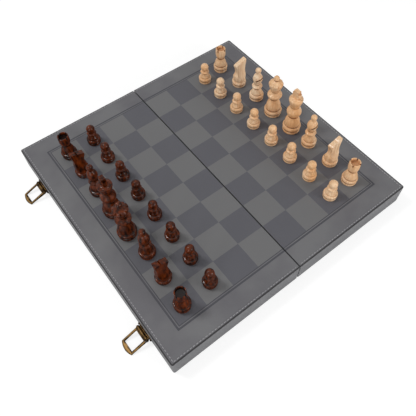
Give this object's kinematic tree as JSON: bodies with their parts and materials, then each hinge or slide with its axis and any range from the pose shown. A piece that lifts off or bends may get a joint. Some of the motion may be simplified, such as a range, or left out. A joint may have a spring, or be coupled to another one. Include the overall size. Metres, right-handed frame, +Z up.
{
  "type": "travel chess set",
  "caption": "Folding leatherette chess box, open as a board with turned wooden chessmen set up, hinged trays below for storage and latches on one long side.",
  "frame": {"origin": "middle of the hinge, on the plane of the tray rims", "axes": "+X from the latch side to the catch side, +Y along the hinge from the front to the back as pictured, +Z up from the board"},
  "size_m": [0.4197, 0.3784, 0.1106],
  "materials": {
    "light_wood": "turned boxwood, satin lacquer",
    "dark_wood": "stained red-brown, gloss lacquer",
    "printed_leatherette": "grey leatherette with printed squares, sewn edges",
    "grained_leatherette": "embossed grey leatherette",
    "edge_piping": "dark folded binding",
    "core_wood": "bare fibreboard",
    "felt": "black felt",
    "dark_steel": "blackened steel",
    "antique_brass": "antiqued stamped brass"
  },
  "bodies": {
    "left_tray": {"left_core_panel": "core_wood", "left_hinge_leaf": "dark_steel", "left_hinge_screws": "dark_steel", "left_lining": "felt", "left_piping": "edge_piping", "left_play_surface": "printed_leatherette", "left_wall_frame": "core_wood", "left_wrap": "grained_leatherette", "hinge_pin": "dark_steel", "front_latch_base": "antique_brass", "rear_latch_base": "antique_brass", "front_latch_pin": "antique_brass", "rear_latch_pin": "antique_brass", "latch_screws": "antique_brass"},
    "right_tray": {"right_core_panel": "core_wood", "right_hinge_leaf": "dark_steel", "right_hinge_screws": "dark_steel", "right_lining": "felt", "right_piping": "edge_piping", "right_play_surface": "printed_leatherette", "right_wall_frame": "core_wood", "right_wrap": "grained_leatherette", "front_catch": "antique_brass", "rear_catch": "antique_brass", "catch_screws": "antique_brass"},
    "front_latch": {"front_latch_frame": "antique_brass"},
    "rear_latch": {"rear_latch_frame": "antique_brass"},
    "dark_bishop_front": {"dark_bishop_front": "dark_wood"},
    "dark_bishop_rear": {"dark_bishop_rear": "dark_wood"},
    "dark_king": {"dark_king": "dark_wood"},
    "dark_knight_front": {"dark_knight_front": "dark_wood"},
    "dark_knight_rear": {"dark_knight_rear": "dark_wood"},
    "dark_pawn_1": {"dark_pawn_1": "dark_wood"},
    "dark_pawn_2": {"dark_pawn_2": "dark_wood"},
    "dark_pawn_3": {"dark_pawn_3": "dark_wood"},
    "dark_pawn_4": {"dark_pawn_4": "dark_wood"},
    "dark_pawn_5": {"dark_pawn_5": "dark_wood"},
    "dark_pawn_6": {"dark_pawn_6": "dark_wood"},
    "dark_pawn_7": {"dark_pawn_7": "dark_wood"},
    "dark_pawn_8": {"dark_pawn_8": "dark_wood"},
    "dark_queen": {"dark_queen": "dark_wood"},
    "dark_rook_front": {"dark_rook_front": "dark_wood"},
    "dark_rook_rear": {"dark_rook_rear": "dark_wood"},
    "light_bishop_front": {"light_bishop_front": "light_wood"},
    "light_bishop_rear": {"light_bishop_rear": "light_wood"},
    "light_king": {"light_king": "light_wood"},
    "light_knight_front": {"light_knight_front": "light_wood"},
    "light_knight_rear": {"light_knight_rear": "light_wood"},
    "light_pawn_1": {"light_pawn_1": "light_wood"},
    "light_pawn_2": {"light_pawn_2": "light_wood"},
    "light_pawn_3": {"light_pawn_3": "light_wood"},
    "light_pawn_4": {"light_pawn_4": "light_wood"},
    "light_pawn_5": {"light_pawn_5": "light_wood"},
    "light_pawn_6": {"light_pawn_6": "light_wood"},
    "light_pawn_7": {"light_pawn_7": "light_wood"},
    "light_pawn_8": {"light_pawn_8": "light_wood"},
    "light_queen": {"light_queen": "light_wood"},
    "light_rook_front": {"light_rook_front": "light_wood"},
    "light_rook_rear": {"light_rook_rear": "light_wood"}
  },
  "joints": [
    {"name": "fold", "type": "hinge", "parent": "left_tray", "child": "right_tray", "pos_m": [0, 0, -0.0001], "axis": [0, 1, 0], "range_deg": [0, 180]},
    {"name": "front_latch_swing", "type": "hinge", "parent": "left_tray", "child": "front_latch", "pos_m": [-0.1952, -0.1312, 0.0086], "axis": [0, 1, 0], "range_deg": [-68.9, 111]},
    {"name": "rear_latch_swing", "type": "hinge", "parent": "left_tray", "child": "rear_latch", "pos_m": [-0.1952, 0.1312, 0.0086], "axis": [0, 1, 0], "range_deg": [-68.9, 111]},
    {"name": "lift_dark_bishop_front", "type": "slide", "parent": "left_tray", "child": "dark_bishop_front", "axis": [0, 0, 1], "range_m": [0, 0.09]},
    {"name": "lift_dark_bishop_rear", "type": "slide", "parent": "left_tray", "child": "dark_bishop_rear", "axis": [0, 0, 1], "range_m": [0, 0.09]},
    {"name": "lift_dark_king", "type": "slide", "parent": "left_tray", "child": "dark_king", "axis": [0, 0, 1], "range_m": [0, 0.09]},
    {"name": "lift_dark_knight_front", "type": "slide", "parent": "left_tray", "child": "dark_knight_front", "axis": [0, 0, 1], "range_m": [0, 0.09]},
    {"name": "lift_dark_knight_rear", "type": "slide", "parent": "left_tray", "child": "dark_knight_rear", "axis": [0, 0, 1], "range_m": [0, 0.09]},
    {"name": "lift_dark_pawn_1", "type": "slide", "parent": "left_tray", "child": "dark_pawn_1", "axis": [0, 0, 1], "range_m": [0, 0.09]},
    {"name": "lift_dark_pawn_2", "type": "slide", "parent": "left_tray", "child": "dark_pawn_2", "axis": [0, 0, 1], "range_m": [0, 0.09]},
    {"name": "lift_dark_pawn_3", "type": "slide", "parent": "left_tray", "child": "dark_pawn_3", "axis": [0, 0, 1], "range_m": [0, 0.09]},
    {"name": "lift_dark_pawn_4", "type": "slide", "parent": "left_tray", "child": "dark_pawn_4", "axis": [0, 0, 1], "range_m": [0, 0.09]},
    {"name": "lift_dark_pawn_5", "type": "slide", "parent": "left_tray", "child": "dark_pawn_5", "axis": [0, 0, 1], "range_m": [0, 0.09]},
    {"name": "lift_dark_pawn_6", "type": "slide", "parent": "left_tray", "child": "dark_pawn_6", "axis": [0, 0, 1], "range_m": [0, 0.09]},
    {"name": "lift_dark_pawn_7", "type": "slide", "parent": "left_tray", "child": "dark_pawn_7", "axis": [0, 0, 1], "range_m": [0, 0.09]},
    {"name": "lift_dark_pawn_8", "type": "slide", "parent": "left_tray", "child": "dark_pawn_8", "axis": [0, 0, 1], "range_m": [0, 0.09]},
    {"name": "lift_dark_queen", "type": "slide", "parent": "left_tray", "child": "dark_queen", "axis": [0, 0, 1], "range_m": [0, 0.09]},
    {"name": "lift_dark_rook_front", "type": "slide", "parent": "left_tray", "child": "dark_rook_front", "axis": [0, 0, 1], "range_m": [0, 0.09]},
    {"name": "lift_dark_rook_rear", "type": "slide", "parent": "left_tray", "child": "dark_rook_rear", "axis": [0, 0, 1], "range_m": [0, 0.09]},
    {"name": "lift_light_bishop_front", "type": "slide", "parent": "right_tray", "child": "light_bishop_front", "axis": [0, 0, 1], "range_m": [0, 0.09]},
    {"name": "lift_light_bishop_rear", "type": "slide", "parent": "right_tray", "child": "light_bishop_rear", "axis": [0, 0, 1], "range_m": [0, 0.09]},
    {"name": "lift_light_king", "type": "slide", "parent": "right_tray", "child": "light_king", "axis": [0, 0, 1], "range_m": [0, 0.09]},
    {"name": "lift_light_knight_front", "type": "slide", "parent": "right_tray", "child": "light_knight_front", "axis": [0, 0, 1], "range_m": [0, 0.09]},
    {"name": "lift_light_knight_rear", "type": "slide", "parent": "right_tray", "child": "light_knight_rear", "axis": [0, 0, 1], "range_m": [0, 0.09]},
    {"name": "lift_light_pawn_1", "type": "slide", "parent": "right_tray", "child": "light_pawn_1", "axis": [0, 0, 1], "range_m": [0, 0.09]},
    {"name": "lift_light_pawn_2", "type": "slide", "parent": "right_tray", "child": "light_pawn_2", "axis": [0, 0, 1], "range_m": [0, 0.09]},
    {"name": "lift_light_pawn_3", "type": "slide", "parent": "right_tray", "child": "light_pawn_3", "axis": [0, 0, 1], "range_m": [0, 0.09]},
    {"name": "lift_light_pawn_4", "type": "slide", "parent": "right_tray", "child": "light_pawn_4", "axis": [0, 0, 1], "range_m": [0, 0.09]},
    {"name": "lift_light_pawn_5", "type": "slide", "parent": "right_tray", "child": "light_pawn_5", "axis": [0, 0, 1], "range_m": [0, 0.09]},
    {"name": "lift_light_pawn_6", "type": "slide", "parent": "right_tray", "child": "light_pawn_6", "axis": [0, 0, 1], "range_m": [0, 0.09]},
    {"name": "lift_light_pawn_7", "type": "slide", "parent": "right_tray", "child": "light_pawn_7", "axis": [0, 0, 1], "range_m": [0, 0.09]},
    {"name": "lift_light_pawn_8", "type": "slide", "parent": "right_tray", "child": "light_pawn_8", "axis": [0, 0, 1], "range_m": [0, 0.09]},
    {"name": "lift_light_queen", "type": "slide", "parent": "right_tray", "child": "light_queen", "axis": [0, 0, 1], "range_m": [0, 0.09]},
    {"name": "lift_light_rook_front", "type": "slide", "parent": "right_tray", "child": "light_rook_front", "axis": [0, 0, 1], "range_m": [0, 0.09]},
    {"name": "lift_light_rook_rear", "type": "slide", "parent": "right_tray", "child": "light_rook_rear", "axis": [0, 0, 1], "range_m": [0, 0.09]}
  ]
}
